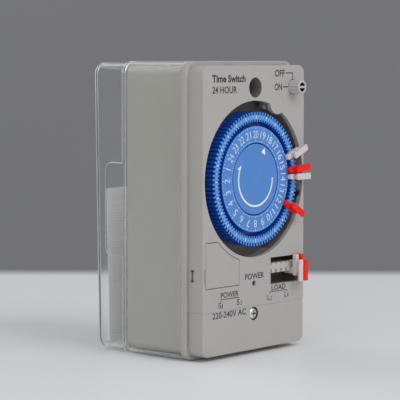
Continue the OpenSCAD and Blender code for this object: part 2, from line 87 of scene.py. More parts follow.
COVER_SLOPE = 2.6         # mm by which the clear cover is less deep at its bottom than at its top
PRINT_LIFT = 0.012        # mm between a printed mark and the plastic under it
MERGE = 1e-6              # metres within which the corners of neighbouring marks are joined

# The photo's view: a long lens, about 50 degrees round to the left of the face and 4 above it.
CAMERA_PLACE = Vector((-0.6828, FACE_Y - 0.5431, 0.1390))
CAMERA_VIEW = Vector((0.7618, 0.6433, -0.0769))
CAMERA_ROLL = 0.1         # degrees
CAMERA_LENS = 169.8       # mm, on a sensor 36 mm wide


def at(x, depth, z):
    """A point given in millimetres, with its depth measured back from the face."""
    return Vector((x * MM, FACE_Y + depth * MM, z * MM))


def depth_of(y):
    return (y - FACE_Y) / MM


def about(cx, cz, r, angle, depth):
    """A point at radius r mm and angle degrees (0 right, 90 up) about an axis along the depth."""
    a = math.radians(angle)
    return at(cx + r * math.cos(a), depth, cz + r * math.sin(a))


# ---------------------------------------------------------------- materials

def srgb(r, g, b):
    """Linear colour from 0-255 display values."""
    def one(v):
        v /= 255
        return v / 12.92 if v <= 0.04045 else ((v + 0.055) / 1.055) ** 2.4
    return (one(r), one(g), one(b), 1.0)


def shade(colour, factor):
    """A colour made lighter or darker by a factor."""
    return tuple(min(1.0, c * factor) for c in colour[:3]) + (1.0,)


class Look:
    """Adds and links shader nodes in one material."""

    def __init__(self, name, **values):
        self.mat = bpy.data.materials.new(name)
        self.mat.use_nodes = True
        self.tree = self.mat.node_tree
        self.shader = self.tree.nodes["Principled BSDF"]
        for key, value in values.items():
            self.shader.inputs[key.replace("_", " ")].default_value = value

    def add(self, kind, **values):
        node = self.tree.nodes.new(kind)
        for key, value in values.items():
            node.inputs[key.replace("_", " ")].default_value = value
        return node

    def link(self, output, socket):
        self.tree.links.new(output, socket)

    def feed(self, output, name):
        self.tree.links.new(output, self.shader.inputs[name])

    def place(self, stretch=(1, 1, 1)):
        """Object coordinates in metres, optionally stretched."""
        mapping = self.add("ShaderNodeMapping", Scale=stretch)
        self.link(self.add("ShaderNodeTexCoord").outputs["Object"], mapping.inputs["Vector"])
        return mapping.outputs["Vector"]

    def noise(self, vector, size_mm, detail=3.0, roughness=0.5):
        node = self.add("ShaderNodeTexNoise", Scale=1 / (size_mm * MM), Detail=detail, Roughness=roughness)
        self.link(vector, node.inputs["Vector"])
        return node.outputs["Fac"]

    def ramp(self, fac, low, high, start=0.3, end=0.7):
        """A colour that goes from low to high while the factor goes from start to end."""
        node = self.add("ShaderNodeValToRGB")
        first, last = node.color_ramp.elements[0], node.color_ramp.elements[1]
        first.position, first.color = start, low
        last.position, last.color = end, high
        self.link(fac, node.inputs["Fac"])
        return node.outputs["Color"]

    def bump(self, height, strength, distance_mm, under=None):
        node = self.add("ShaderNodeBump", Strength=strength, Distance=distance_mm * MM)
        self.link(height, node.inputs["Height"])
        if under is not None:
            self.link(under, node.inputs["Normal"])
        return node.outputs["Normal"]

    def span(self, value, low, high):
        """A value from 0 to 1 spread between low and high."""
        node = self.add("ShaderNodeMapRange", To_Min=low, To_Max=high)
        self.link(value, node.inputs["Value"])
        return node.outputs["Result"]


def plastic(name, colour, rough=0.45, grain_mm=0.35, grain=0.18, mottle=0.03, specular=0.5):
    """Moulded plastic: a fine spark-eroded grain, faint clouds of colour and uneven gloss."""
    m = Look(name, IOR=1.5, Specular_IOR_Level=specular)
    v = m.place()
    m.feed(m.ramp(m.noise(v, 9.0, 4.0), shade(colour, 1 - mottle), shade(colour, 1 + mottle)), "Base Color")
    m.feed(m.span(m.noise(v, 4.0), rough - 0.05, rough + 0.05), "Roughness")
    fine = m.bump(m.noise(v, grain_mm, 2.0), grain, 0.02)
    m.feed(m.bump(m.noise(v, 14.0, 2.0), 0.05, 0.06, fine), "Normal")
    return m.mat


def metal(name, colour, rough=0.3, brush=(1, 1, 1), brush_mm=0.25, wear=0.06):
    """Plated or stamped metal with brushed streaks and uneven gloss."""
    m = Look(name, Metallic=1.0)
    streak = m.noise(m.place(brush), brush_mm, 4.0, 0.6)
    m.feed(m.ramp(streak, shade(colour, 1 - wear), shade(colour, 1 + wear)), "Base Color")
    m.feed(m.span(streak, rough - 0.08, rough + 0.1), "Roughness")
    m.feed(m.bump(streak, 0.12, 0.01), "Normal")
    return m.mat


def clear_plastic(name, colour, face_on, rough):
    """Clear moulded plastic, slightly wavy and hazy, that lets less light through where it turns away, so
    its whitish base colour shows there as a painted sheen.
    """
    m = Look(name, Base_Color=colour, IOR=1.40)
    # painted sheen: towards grazing angles the plastic lets less light through and turns whiter
    layer = m.add("ShaderNodeLayerWeight", Blend=0.5)
    edge = m.add("ShaderNodeMapRange", From_Min=0.5, From_Max=1.0, To_Min=face_on, To_Max=0.3)
    m.link(layer.outputs["Facing"], edge.inputs["Value"])
    m.feed(edge.outputs["Result"], "Transmission Weight")
    m.feed(m.span(m.noise(m.place((60, 1, 4)), 3.0, 6.0, 0.7), rough, rough + 0.08), "Roughness")
    m.feed(m.bump(m.noise(m.place(), 22.0, 2.0), 0.05, 0.08), "Normal")
    return m.mat


def paper(name):
    """Thin leaflet paper: fibres and soft waves."""
    m = Look(name, Roughness=0.8)
    fibre = m.noise(m.place((1, 1, 3)), 0.5, 5.0, 0.7)
    m.feed(m.ramp(fibre, srgb(238, 239, 246), srgb(248, 248, 252)), "Base Color")
    m.feed(m.bump(m.noise(m.place(), 12.0, 2.0), 0.3, 0.3, m.bump(fibre, 0.1, 0.02)), "Normal")
    return m.mat


def wound_copper(name):
    """Fine turns of enamelled wire round the winding."""
    m = Look(name, Roughness=0.35, Metallic=0.6)
    wave = m.add("ShaderNodeTexWave", Scale=1 / (0.9 * MM), Distortion=0.6)
    wave.wave_type, wave.bands_direction = "BANDS", "Y"
    m.link(m.place(), wave.inputs["Vector"])
    m.feed(m.ramp(wave.outputs["Fac"], srgb(96, 42, 20), srgb(196, 104, 56)), "Base Color")
    m.feed(m.bump(wave.outputs["Fac"], 0.6, 0.1), "Normal")
    return m.mat


MATERIALS = {
    "case_grey": plastic("case_plastic", srgb(170, 168, 163), 0.48, 0.5, 0.05, 0.015),
    "clear": clear_plastic("clear_plastic", (0.97, 0.975, 0.96, 1), 1.0, 0.02),
    # a hazier, whiter copy of the clear plastic: painted highlight for the cover's curved edges
    "clear_edge_sheen": clear_plastic("clear_plastic_edge_sheen", (0.80, 0.80, 0.80, 1), 0.72, 0.3),
    "paper": paper("leaflet_paper"),
    "dial_blue": plastic("dial_plastic", srgb(74, 132, 204), 0.40, 0.3, 0.12, 0.03),
    # the dial's blue darkened as painted shade for the drum's flutes and the number ring's sides; the next
    # is the same blue paled as painted light for the drum's front
    "dial_deep": plastic("drum_plastic_painted_shade", srgb(22, 78, 182), 0.30, 0.3, 0.12, 0.05),
    "drum_front_painted_lit": plastic("drum_front_plastic_painted_lit", srgb(70, 138, 212), 0.34, 0.3, 0.12, 0.08),
    "setter_red": plastic("setter_red_plastic", srgb(242, 26, 2), 0.42, 0.3, 0.1, 0.04, 0.25),
    "setter_white": plastic("setter_white_plastic", srgb(212, 196, 194), 0.38, 0.3, 0.1, 0.03),
    "black_plastic": plastic("dark_plastic", srgb(88, 82, 78), 0.55, 0.4, 0.25, 0.08),
    "natural_nylon": plastic("natural_acetal", srgb(206, 202, 190), 0.4, 0.3, 0.1, 0.03),
    "zinc_steel": metal("zinc_steel", srgb(196, 202, 200), 0.3),
    # the zinc steel made brighter for the terminal cover's screw: painted light standing in for the bright
    # reflections on its head
    "zinc_steel_painted_bright": metal("screw_steel_painted_bright", srgb(226, 230, 228), 0.38),
    "brass": metal("stamped_brass", srgb(214, 178, 104), 0.32, (1, 1, 12), 1.2),
    "copper_winding": wound_copper("copper_winding"),
    "magnet": plastic("ferrite", srgb(48, 48, 50), 0.5, 0.2, 0.3, 0.12),
    "board_green": plastic("solder_mask", srgb(38, 92, 50), 0.3, 0.5, 0.15, 0.08),
    "lamp_red": plastic("lamp_epoxy", srgb(70, 20, 16), 0.2, 0.5, 0.05, 0.05),
    "resistor_tan": plastic("lacquered_ceramic", srgb(190, 164, 122), 0.35, 0.3, 0.2, 0.06),
    "capacitor_yellow": plastic("film_capacitor", srgb(216, 170, 46), 0.3, 0.6, 0.1, 0.04),
    "wire_grey": plastic("pvc_lead", srgb(150, 150, 156), 0.5, 0.4, 0.1, 0.05),
    # the case's grey made lighter for the knob and the rail: painted light that offsets the shade in their
    # flutes and slots
    "case_grey_painted_lighter": plastic("knob_and_rail_plastic_painted_lighter", srgb(184, 182, 177), 0.45, 0.5, 0.05, 0.015),
    "well_grey": plastic("movement_cover_plastic", srgb(108, 102, 98), 0.5, 0.4, 0.25, 0.06),
    # the natural nylon darkened for the trip lever: painted shade for a part seen deep in the well
    "nylon_painted_shade": plastic("lever_acetal_painted_shade", srgb(150, 146, 138), 0.4, 0.3, 0.1, 0.04),
    # the unlit lamp lens's dark red, also used as painted shade deep in the knob's end recess
    "dark_lens_and_painted_shade": plastic("unlit_lens_and_painted_shade", srgb(20, 8, 7), 0.5, 0.5, 0.05, 0.05),
    "hole_shade": plastic("shaded_hole", srgb(112, 111, 107), 0.6, 0.4, 0.2, 0.06),
    "recess_dark": plastic("shaded_recess", srgb(64, 66, 66), 0.6, 0.4, 0.2, 0.06),
    "print_dark": plastic("dark_ink", srgb(48, 48, 50), 0.6, 0.2, 0.1, 0.06),
    "print_white": plastic("white_ink", srgb(200, 216, 236), 0.6, 0.2, 0.1, 0.03),
    "print_bright": plastic("bright_ink", srgb(232, 232, 226), 0.6, 0.2, 0.1, 0.03),
    "print_grey": plastic("leaflet_ink_grey", srgb(238, 235, 239), 0.8, 0.2, 0.1, 0.06),
    "print_pink": plastic("leaflet_ink_pink", srgb(242, 233, 237), 0.8, 0.2, 0.1, 0.06),
    "print_yellow": plastic("leaflet_ink_yellow", srgb(240, 237, 236), 0.8, 0.2, 0.1, 0.06),
}
SLOT_OF = {row["node"]: row["material_slot"] for row in frame["record"]["subparts"]}
BODY_OF = {n: b for b, nodes in frame["record"]["behaviour"]["bodies"].items() for n in nodes}

for node_name, node_obj in NODES.items():
    node_obj.data.materials.clear()
    node_obj.data.materials.append(MATERIALS[SLOT_OF[node_name]])


# ---------------------------------------------------------------- mesh helpers

def link_object(name, mesh):
    obj = bpy.data.objects.new(name, mesh)
    bpy.context.scene.collection.objects.link(obj)
    return obj


def object_from(name, bm):
    """Turns a bmesh into an object and frees it."""
    bmesh.ops.recalc_face_normals(bm, faces=bm.faces)
    mesh = bpy.data.meshes.new(name)
    bm.to_mesh(mesh)
    bm.free()
    return link_object(name, mesh)


def smooth(obj, angle=32):
    """Smooth shading with sharp edges kept, and flat faces held flat by weighted normals."""
    obj.data.shade_smooth()
    obj.data.set_sharp_from_angle(angle=math.radians(angle))
    weighted = obj.modifiers.new("weighted", "WEIGHTED_NORMAL")
    weighted.keep_sharp = True


def finish_piece(obj, body, slot, replaced=(), material=None):
    """Puts a piece on its body; its material is the slot's own unless another one is named."""
    obj.data.materials.clear()
    obj.data.materials.append(MATERIALS[material or slot])
    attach(obj, body)
    if replaced:
        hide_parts(*replaced)
    return obj


def paint(obj, material, pick):
    """Gives a second material to the faces of a finished piece that pick chooses."""
    obj.data.materials.append(MATERIALS[material])
    for face in obj.data.polygons:
        face.material_index = 1 if pick(face) else 0


def everywhere(p):
    return True


def rounded_node(node, rules, angle=32, least=40, material=None):
    """A copy of a CAD node with its edges rounded. Each rule is (width mm, segments, pick).

    Edges that turn by more than least degrees are rounded, and those past angle are shaded sharp.
    """
    weld, flat = 0.002, 0.4                          # mm, and the degrees within which faces are one
    bm = bmesh.new()
    bm.from_mesh(NODES[node].data)
    bmesh.ops.remove_doubles(bm, verts=bm.verts, dist=weld * MM)
    bmesh.ops.dissolve_limit(bm, angle_limit=math.radians(flat), verts=bm.verts, edges=bm.edges)
    for width, segments, pick in rules:
        edges = [e for e in bm.edges if len(e.link_faces) == 2
                 and e.calc_face_angle(0) > math.radians(least)
                 and pick((e.verts[0].co + e.verts[1].co) / 2)]
        if edges:
            bmesh.ops.bevel(bm, geom=edges, offset=width * MM, offset_type="OFFSET", segments=segments,
                            profile=0.5, affect="EDGES", clamp_overlap=False)
    obj = object_from(node + "_piece", bm)
    smooth(obj, angle)
    return finish_piece(obj, BODY_OF[node], SLOT_OF[node], [node], material)


def loft(bm, rings):
    """Skins a row of closed rings, each the same number of points, and closes both ends."""
    rows = [[bm.verts.new(p) for p in ring] for ring in rings]
    n = len(rows[0])
    for a, b in zip(rows, rows[1:]):
        for i in range(n):
            j = (i + 1) % n
            bm.faces.new((a[i], a[j], b[j], b[i]))
    bm.faces.new(rows[0])
    bm.faces.new(rows[-1])


def quarter(steps):
    """Pairs (sine, 1 - cosine) that run round a quarter circle."""
    return [(math.sin(math.pi / 2 * k / steps), 1 - math.cos(math.pi / 2 * k / steps))
            for k in range(steps + 1)]


def rounded_outline(points, r, n=5):
    """A closed polygon of (a, b) corners with every corner rounded to radius r."""
    out = []
    for i in range(len(points)):
        p, c, q = Vector(points[i - 1]), Vector(points[i]), Vector(points[(i + 1) % len(points)])
        u, v = (p - c).normalized(), (q - c).normalized()
        half = u.angle(v) / 2
        reach = min(r / math.tan(half), (p - c).length * 0.499, (q - c).length * 0.499)
        rr = reach * math.tan(half)
        centre = c + (u + v).normalized() * (rr / math.sin(half))
        first, last = c + u * reach - centre, c + v * reach - centre
        for k in range(n + 1):
            out.append(tuple(centre + first.lerp(last, k / n).normalized() * rr))
    return out


def plate(bm, outline, a, b, edge, place, steps=3):
    """A plate with rounded edges between levels a and b; place maps (u, v, level) to a point."""
    count = len(outline)
    poly = [Vector(p) for p in outline]
    turn = sum(p.x * q.y - q.x * p.y for p, q in zip(poly, poly[1:] + poly[:1]))
    sign = 1 if turn > 0 else -1
    normals = []
    for i in range(count):
        t = poly[(i + 1) % count] - poly[i - 1]
        normals.append(Vector((t.y, -t.x)).normalized() * sign)
    levels = [(a + edge * rise, edge * (1 - side)) for side, rise in quarter(steps)]
    levels += [(b - edge * rise, edge * (1 - side)) for side, rise in reversed(quarter(steps))]
    loft(bm, [[place(p.x - nrm.x * inset, p.y - nrm.y * inset, level) for p, nrm in zip(poly, normals)]
              for level, inset in levels])


def lathe(bm, cx, cz, profile, sides, radius=None):
    """A turned solid about an axis along the depth; profile lists (radius mm, depth mm).

    radius, if given, maps a profile's radius, an angle and a depth to the radius there.
    """
    loft(bm, [[about(cx, cz, radius(r, 360 * k / sides, d) if radius else r, 360 * k / sides, d)
               for k in range(sides)] for r, d in profile])


def flat_face(bm, points):
    """Adds one face through the points, for a printed mark or a stage piece."""
    bm.faces.new([bm.verts.new(p) for p in points])


def combine(obj, other, operation):
    """Joins or cuts obj with other, which is then removed."""
    boolean = obj.modifiers.new("combine", "BOOLEAN")
    boolean.operation, boolean.solver, boolean.object = operation, "EXACT", other
    result = bpy.data.meshes.new_from_object(obj.evaluated_get(bpy.context.evaluated_depsgraph_get()))
    obj.modifiers.remove(boolean)
    obj.data = result
    bpy.data.objects.remove(other)


# ---------------------------------------------------------------- case

def near(value, target, tolerance_mm=0.05):
    """Whether two places in metres are the same to within a tolerance."""
    return abs(value - target) < tolerance_mm * MM


def on_face(p):
    return near(p.y, FACE_Y)


def before(depth):
    """Picks what stands in front of a depth in mm."""
    return lambda p: p.y < FACE_Y + depth * MM


def outer_face_edge(p):
    """The edge round the outside of the face, with its round corners."""
    corner = 5 * MM
    return on_face(p) and (near(abs(p.x), case_hi.x) or p.z > case_hi.z - corner or p.z < lid_lo.z + corner)


def plain_face_opening(p):
    """Edges of the openings in the face, apart from the seam and the thumb groove."""
    groove_x, groove_top = -35.4 * MM, 46 * MM
    return on_face(p) and not near(p.z, case_lo.z) and not (p.x < groove_x and p.z < groove_top)


def outside_of_flange(p):
    """What stands outside the front case's outline."""
    return abs(p.x) > case_hi.x + 0.2 * MM or p.z > case_hi.z + 0.2 * MM or p.z < lid_lo.z - 0.5 * MM


def outside_of_back(p):
    """The edge round the outside of the back, apart from the screws' recesses near its corners."""
    recess_x, recess_up, recess_r = 33.1, 61.9, 3.8
    right = max(abs(p.x) / MM - recess_x, 0)
    above = max(abs(p.z / MM - MID_Z) - recess_up, 0)
    return near(p.y, flange_hi.y) and math.hypot(right, above) > recess_r


def darken(obj, cx, cz, r, depth, material="recess_dark"):
    """Paints shade, with a darker material, on the faces of a recess inside radius r and below a depth."""
    def sunk(face):
        out = math.hypot(face.center.x / MM - cx, face.center.z / MM - cz)
        return depth_of(face.center.y) > depth and out < r

    paint(obj, material, sunk)


def build_case():
    """The case's mouldings, with their edges rounded and their deepest recesses shaded."""
    hole_x, hole_z, hole_r = 0, KNOB_Z, 4.8          # the upper fixing hole, level with the knob
    screw_recess_r = 3.16
    front = rounded_node("front_case", [(0.6, 4, outer_face_edge), (0.18, 2, plain_face_opening)])
    darken(front, hole_x, hole_z, hole_r, 0.25, "hole_shade")
    rounded_node("rear_case", [
        (0.5, 3, lambda p: outside_of_flange(p) and before(10)(p)),
        (0.12, 1, lambda p: outside_of_flange(p) and before(13)(p)),
        (1.2, 5, outside_of_back),
        (0.15, 2, lambda p: near(p.y, flange_hi.y))])
    lid = rounded_node("terminal_cover", [
        (0.6, 4, outer_face_edge),
        (0.15, 2, lambda p: on_face(p) and not near(p.z, lid_hi.z))])
    # painted shade on the walls of the screw's recess in the lid
    darken(lid, SCREW_X, SCREW_Z, screw_recess_r, 0.2)
    rounded_node("compartment_lid", [(0.12, 2, on_face)])
    # painted light: the rail gets a lighter copy of the case's grey
    rounded_node("setter_rail", [(0.12, 2, before(1.5))], material="case_grey_painted_lighter")
    rounded_node("setter_tray", [(0.15, 2, before(3))])
    rounded_node("movement_cover", [(0.2, 2, before(3))], material="well_grey")


# ---------------------------------------------------------------- clear cover and leaflet

def rect_ring(half_w, half_h, r, depth, n=12):
    """Points round a rectangle with round corners, centred on the case."""
    out = []
    for k, (sx, sz) in enumerate(((1, 1), (-1, 1), (-1, -1), (1, -1))):
        for i in range(n + 1):
            a = math.radians(90 * k + 90 * i / n)
            out.append(at(sx * (half_w - r) + r * math.cos(a), depth,
                          MID_Z + sz * (half_h - r) + r * math.sin(a)))
    return out


def lean(z):
    """How much less deep the cover is at height z mm than at its top, in mm."""
    return COVER_SLOPE * (cover_hi.z / MM - z) / ((cover_hi.z - cover_lo.z) / MM)


def build_clear_cover():
    """The dust cover: a skirt over the rear case, a step, and a bowl with a soft, sloping back."""
    w, h = cover_hi.x / MM, (cover_hi.z - cover_lo.z) / 2 / MM
    front, back = depth_of(cover_lo.y), depth_of(cover_hi.y)
    step, inset = 48.4, 0.8                          # the bowl starts at step and is inset from the skirt
    wall, corner, fillet, rim = 1.5, 5.5, 2.6, 0.3
    inner_fillet = fillet - wall
    inner_corner = 4

    def ring(shrink, r, depth):
        """A ring of the cover, shrunk all round; those of the bowl lean with the back."""
        points = rect_ring(w - shrink, h - shrink, r, depth)
        if depth > step + 1:
            for p in points:
                p.y -= lean(p.z / MM) * MM
        return points

    rings = []
    for side, rise in reversed(quarter(8)):          # inside, from the back to the rim
        s = inner_fillet * rise
        rings.append(ring(inset + wall + s, max(corner - wall - s, 0.8),
                          back - wall - inner_fillet * (1 - side)))
    for side, rise in reversed(quarter(6)):
        rings.append(ring(wall + inset * rise, inner_corner, step - wall - 1.2 + 1.6 * side))
    for side, rise in quarter(3):
        rings.append(ring(wall - rim * rise, inner_corner, front + rim * (1 - side)))
    for side, rise in reversed(quarter(3)):          # outside, from the rim to the back
        rings.append(ring(rim * rise, corner, front + rim * (1 - side)))
    for side, rise in quarter(6):
        rings.append(ring((inset - 0.12) * rise, corner, step - 2 + 2 * side))
    rings.append(ring(inset - 0.03, corner, step + 0.15))
    rings.append(ring(inset, corner, step + 0.5))
    for side, rise in quarter(10):
        s = fillet * rise
        rings.append(ring(inset + s, corner - s, back - fillet * (1 - side)))
    bm = bmesh.new()
    loft(bm, rings)
    cover = object_from("clear_cover_piece", bm)

    pad_low, pad_high = -23, 21                      # from the middle of the case's height
    pad_front, pad_back = step - 5, step + 10.4
    pad_foot, pad_top, pad_edge = w - inset - 0.45, w - 0.04, 0.58
    outline = rounded_outline([(pad_low, pad_front), (pad_high, pad_front),
                               (pad_high, pad_back), (pad_low, pad_back)], 4.0, 8)
    for s in (-1, 1):                                # a finger pad on each side
        bm = bmesh.new()
        plate(bm, outline, pad_foot, pad_top, pad_edge, lambda u, v, level: at(s * level, v, MID_Z + u), 5)
        combine(cover, object_from("pad", bm), "UNION")
    smooth(cover, 30)
    cover.visible_shadow = False                     # clear plastic lets the light in
    finish_piece(cover, "cover", "clear", ["clear_cover"])

    def catches_light(face):
        """Whether a face belongs to one of the curved edges, which get a painted highlight."""
        on_pad = abs(face.center.x) > cover_hi.x - 0.78 * MM and depth_of(face.center.y) > step + 0.6
        return 0.1 < abs(face.normal.y) < 0.97 or (on_pad and abs(face.normal.x) < 0.97)

    # painted highlight: the curved edges and the pads' rims get the hazier, whiter plastic
    paint(cover, "clear_edge_sheen", catches_light)


def build_leaflet():
    """Folded sheets that follow the cover's back, printed on both sides with plain rules and blocks."""
    x0, x1, z0, z1 = leaflet_lo.x / MM, leaflet_hi.x / MM, leaflet_lo.z / MM, leaflet_hi.z / MM
    trims = ((0, 0), (0.5, -0.6), (0.2, -1.1), (0.8, -0.3))     # how far each sheet's left and top are off
    thick, pitch, ink = 0.07, 0.19, 0.015
    bends, pieces = 16, 10                           # across a sheet, and across a printed block

    def ends(k):
        return x0 + trims[k][0], x1 - 0.3 * k

    def sheet(k, x, z, behind=0.0):
        """A point on the front of sheet k, or some way behind it."""
        start, end = ends(k)
        wave = 0.05 * math.sin(3.1 * (x - start) / (end - start) + k)
        return at(x, depth_of(leaflet_lo.y) + 0.03 + pitch * k + wave + behind + lean(z0) - lean(z), z)

    bm = bmesh.new()
    for k in range(len(trims)):
        start, end = ends(k)
        top = z1 + trims[k][1]
        rows = []
        for i in range(bends + 1):
            x = start + (end - start) * i / bends
            rows.append([sheet(k, x, z, behind) for z, behind in
                         ((z0, 0), (top, 0), (top, thick), (z0, thick))])
        loft(bm, rows)
    finish_piece(object_from("leaflet_piece", bm), "cover", "paper", ["leaflet"])

    def blocks(name, material, rows, k, behind):
        """Printed blocks (left, right, low, high) on sheet k, in pieces that follow its bends."""
        bm = bmesh.new()
        for a, b, low, high in rows:
            for i in range(pieces):
                p, q = a + (b - a) * i / pieces, a + (b - a) * (i + 1) / pieces
                corners = ((p, low), (q, low), (q, high), (p, high))
                flat_face(bm, [sheet(k, x, z, behind) for x, z in corners])
        bmesh.ops.remove_doubles(bm, verts=bm.verts, dist=MERGE)
        finish_piece(object_from(name, bm), "cover", "paper", material=material)

    pink = [(x0 + 3, x0 + 20, 30.5, 39.5), (9, 27, 8, 13)]
    yellow = [(x0 + 3, x1 - 4, z1 - 6, z1 - 3), (9, 28, 45, 57)]
    rules = []
    for column in range(3):                          # three columns of rules, broken into paragraphs
        left = x0 + 3 + column * 20.5
        z = z1 - 9
        count = 0
        while z > z0 + 4:
            beside_block = (column == 0 and 30 < z < 40) or (column == 2 and 44 < z < 58)
            if not beside_block:
                long = 17.5 if (count * 7 + column * 3) % 5 else 9.5
                rules.append((left, left + long, z, z + 0.55))
            z -= 1.35 if (count + column) % 9 else 3.2
            count += 1
    for side, k, behind in (("front", 0, -ink), ("back", 3, thick + ink)):
        blocks("leaflet_rules_" + side, "print_grey", rules, k, behind)
        blocks("leaflet_pink_" + side, "print_pink", pink, k, behind)
        blocks("leaflet_yellow_" + side, "print_yellow", yellow, k, behind)


# ---------------------------------------------------------------- dial

PLACES = 96                                          # a setter's place for every quarter of an hour
PER_HOUR = 4
PLACE_ANGLE = 360 / PLACES


def build_dial():
    """The drum, with painted light paling its front and painted shade darkening its flutes, the ring of
    numbers with painted shade on its sides, and the fixed disc.
    """
    drum = rounded_node("dial_drum", [(0.08, 1, lambda p: near(p.y, drum_lo.y, 0.02))], least=60)
    # painted light: the drum's front faces get a paler copy of its blue
    paint(drum, "drum_front_painted_lit", lambda face: face.center.y < drum_lo.y + 0.06 * MM)
    ring = rounded_node("number_ring", [(0.15, 2, lambda p: near(p.y, number_lo.y))])
    # painted shade: the number ring's sides get the darker copy of the blue
    paint(ring, "dial_deep", lambda face: face.center.y > number_lo.y + 0.2 * MM)
    rounded_node("centre_disc", [(0.15, 2, lambda p: near(p.y, disc_lo.y))])

    bm = bmesh.new()                                 # a mark at every place, bolder on the hour
    depth = depth_of(drum_lo.y) - PRINT_LIFT
    for k in range(PLACES):
        hour = k % PER_HOUR == 0
        inner, outer, half = (27.85, 29.5, 0.262) if hour else (28.2, 29.2, 0.122)
        flat_face(bm, [about(DIAL_X, DIAL_Z, r, PLACE_ANGLE * k + math.degrees(s / r), depth)
                       for r, s in ((inner, -half), (outer, -half), (outer, half), (inner, half))])
    finish_piece(object_from("drum_marks", bm), "dial", "dial_deep", material="print_white")


def text_mesh(bm, words, place, height, width=None, bold=0.0):
    """Adds flat lettering, centred and scaled to a height and width in mm, where place maps it."""
    curve = bpy.data.curves.new("letters", "FONT")
    curve.body = words
    curve.resolution_u = 4
    curve.offset = bold
    holder = link_object("letters", curve)
    mesh = bpy.data.meshes.new_from_object(holder.evaluated_get(bpy.context.evaluated_depsgraph_get()))
    xs, ys = [v.co.x for v in mesh.vertices], [v.co.y for v in mesh.vertices]
    sy = height / (max(ys) - min(ys))
    sx = width / (max(xs) - min(xs)) if width else sy
    mx, my = (max(xs) + min(xs)) / 2, (max(ys) + min(ys)) / 2
    verts = [bm.verts.new(place((v.co.x - mx) * sx, (v.co.y - my) * sy)) for v in mesh.vertices]
    for poly in mesh.polygons:
        bm.faces.new([verts[i] for i in poly.vertices])
    bpy.data.objects.remove(holder)


def turned(angle, r, depth):
    """Maps (u, v) to the dial so that v points outward at the angle."""
    def place(u, v):
        a = math.radians(angle)
        x = (r + v) * math.cos(a) + u * math.sin(a)
        z = (r + v) * math.sin(a) - u * math.cos(a)
        return at(DIAL_X + x, depth, DIAL_Z + z)
    return place


def build_ring_print():
    """The hours, anticlockwise with 14 at the right, between an outer and an inner row of marks."""
    depth = depth_of(number_lo.y) - PRINT_LIFT
    number_r, number_height, pair_width = 20.75, 3.5, 3.7
    hour_rows = ((23.2, 24.3, 0.17), (17.25, 18.15, 0.17))      # inner and outer radius, half-width
    quarter_rows = ((23.75, 24.3, 0.11), (17.25, 17.65, 0.13))
    bm = bmesh.new()
    for n in range(1, 25):
        angle = (n - 14) * PER_HOUR * PLACE_ANGLE
        text_mesh(bm, str(n), turned(angle, number_r, depth), number_height, pair_width if n > 9 else None)
        for k in range(PER_HOUR):
            place = turned(angle + PLACE_ANGLE * k, 0, depth)
            for r0, r1, half in quarter_rows if k else hour_rows:
                flat_face(bm, [place(u, v) for u, v in ((-half, r0), (half, r0), (half, r1), (-half, r1))])
    finish_piece(object_from("number_ring_print", bm), "dial", "dial_blue", material="print_white")


def build_disc_print():
    """The pointer, and the arc with an arrowhead that shows which way the dial turns."""
    depth = depth_of(disc_lo.y) - PRINT_LIFT
    inner, outer, start, end, steps = 12.1, 12.95, 1, -199, 60

    def mark(corners):
        flat_face(bm, [about(DIAL_X, DIAL_Z, r, angle, depth) for r, angle in corners])

    bm = bmesh.new()
    mark([(15.9, 65), (13.0, 71.6), (13.0, 56.6)])
    for k in range(steps):
        a, b = start + (end - start) * k / steps, start + (end - start) * (k + 1) / steps
        mark([(inner, a), (outer, a), (outer, b), (inner, b)])
    mark([(inner, 161), (14.3, 159), (12.4, 146.5)])
    bmesh.ops.remove_doubles(bm, verts=bm.verts, dist=MERGE)
    finish_piece(object_from("centre_disc_print", bm), "case", "dial_blue", material="print_bright")


# ---------------------------------------------------------------- setters

def build_setter(node, place):
    """A setter in its own frame: u outward along the dial's radius, v across, and the depth."""
    bm = bmesh.new()

    def bar(u0, u1, half, a, b, corner, edge):
        """A bar from u0 to u1, half wide on each side, between depths a and b."""
        outline = rounded_outline([(u0, -half), (u1, -half), (u1, half), (u0, half)], corner)
        plate(bm, outline, a, b, edge, place)

    bar(30.0, 33.0, 0.36, -0.8, 5.0, 0.2, 0.08)      # the leg in a flute
    bar(26.5, 27.3, 0.36, -0.8, 2.0, 0.2, 0.08)      # the leg in a notch
    bar(23.7, 33.8, 1.25, -2.6, -0.55, 0.7, 0.25)    # the foot on the ring
    bar(27.4, 32.6, 0.85, -4.2, -2.4, 0.5, 0.1)      # the neck
    bar(26.1, 36.4, 1.5, -5.0, -3.95, 0.45, 0.18)    # the finger grip
    obj = object_from(node + "_piece", bm)
    smooth(obj, 40)
    finish_piece(obj, BODY_OF[node], SLOT_OF[node], [node])


def build_setters():
    """Four on the dial, at the angles the photo shows, and two spares standing in the rail."""
    foot_end = 23.7
    for node, angle in (("setter_white_a", 22.5), ("setter_red_a", 7.5),
                        ("setter_white_b", 0), ("setter_red_b", -30)):
        a = math.radians(angle)
        build_setter(node, lambda u, v, d: at(DIAL_X + u * math.cos(a) - v * math.sin(a), d,
                                              DIAL_Z + u * math.sin(a) + v * math.cos(a)))
    for node in ("spare_setter_white", "spare_setter_red"):
        lo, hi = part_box(node)
        x = middle(lo, hi)[0]
        top = hi.z / MM + foot_end
        build_setter(node, lambda u, v, d: at(x + v, d, top - u))


# ---------------------------------------------------------------- knob and screws

